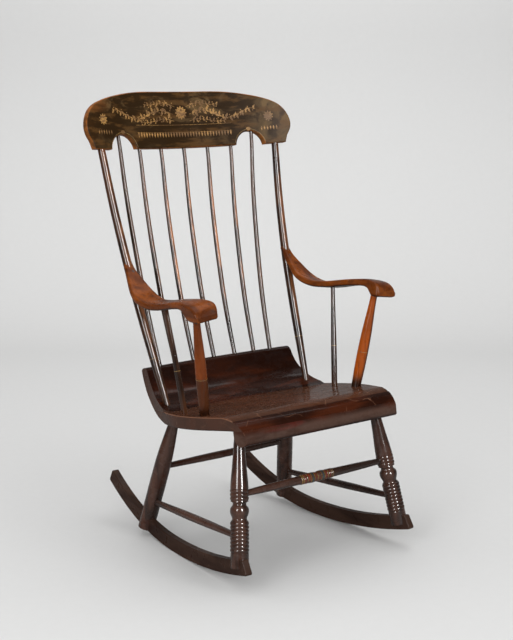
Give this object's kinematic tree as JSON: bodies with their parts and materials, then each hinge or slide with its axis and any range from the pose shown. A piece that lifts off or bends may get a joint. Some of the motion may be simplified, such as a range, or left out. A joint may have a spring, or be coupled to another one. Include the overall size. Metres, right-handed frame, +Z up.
{
  "type": "rocking chair",
  "caption": "Wooden rocking chair with a bowed stencilled crest rail, bent spindles, scrolled arms, a rolled seat, turned legs and curved rockers.",
  "frame": {"origin": "on the ground, below the middle of the chair's overall box", "axes": "+Z up, -Y towards the sitter's front, +X towards the right of someone who faces the chair"},
  "size_m": [0.637, 0.68, 1.124],
  "materials": {
    "crest_wood": "satin",
    "arm_wood": "gloss",
    "arm_post_wood": "gloss",
    "dark_turned_wood": "gloss",
    "spindle_wood": "gloss",
    "seat_wood": "gloss",
    "seat_edge_wood": "gloss",
    "leg_wood": "gloss",
    "painted_turned_wood": "gloss",
    "rocker_wood": "satin",
    "peg_wood": "satin"
  },
  "bodies": {
    "root": {"crest_rail": "crest_wood", "left_back_post": "dark_turned_wood", "right_back_post": "dark_turned_wood", "back_spindle_1": "spindle_wood", "back_spindle_2": "spindle_wood", "back_spindle_3": "spindle_wood", "back_spindle_4": "spindle_wood", "back_spindle_5": "spindle_wood", "back_spindle_6": "spindle_wood", "back_spindle_7": "spindle_wood", "left_arm": "arm_wood", "right_arm": "arm_wood", "left_arm_post": "arm_post_wood", "right_arm_post": "arm_post_wood", "left_arm_spindle": "dark_turned_wood", "right_arm_spindle": "dark_turned_wood", "seat_board": "seat_wood", "seat_front_roll": "seat_edge_wood", "seat_rear_riser": "seat_wood", "left_front_leg": "leg_wood", "right_front_leg": "leg_wood", "left_rear_leg": "leg_wood", "right_rear_leg": "leg_wood", "front_stretcher": "painted_turned_wood", "rear_stretcher": "leg_wood", "left_side_stretcher": "leg_wood", "right_side_stretcher": "leg_wood", "left_rocker": "rocker_wood", "right_rocker": "rocker_wood", "rocker_pegs": "peg_wood", "arm_pegs": "peg_wood"}
  },
  "joints": []
}
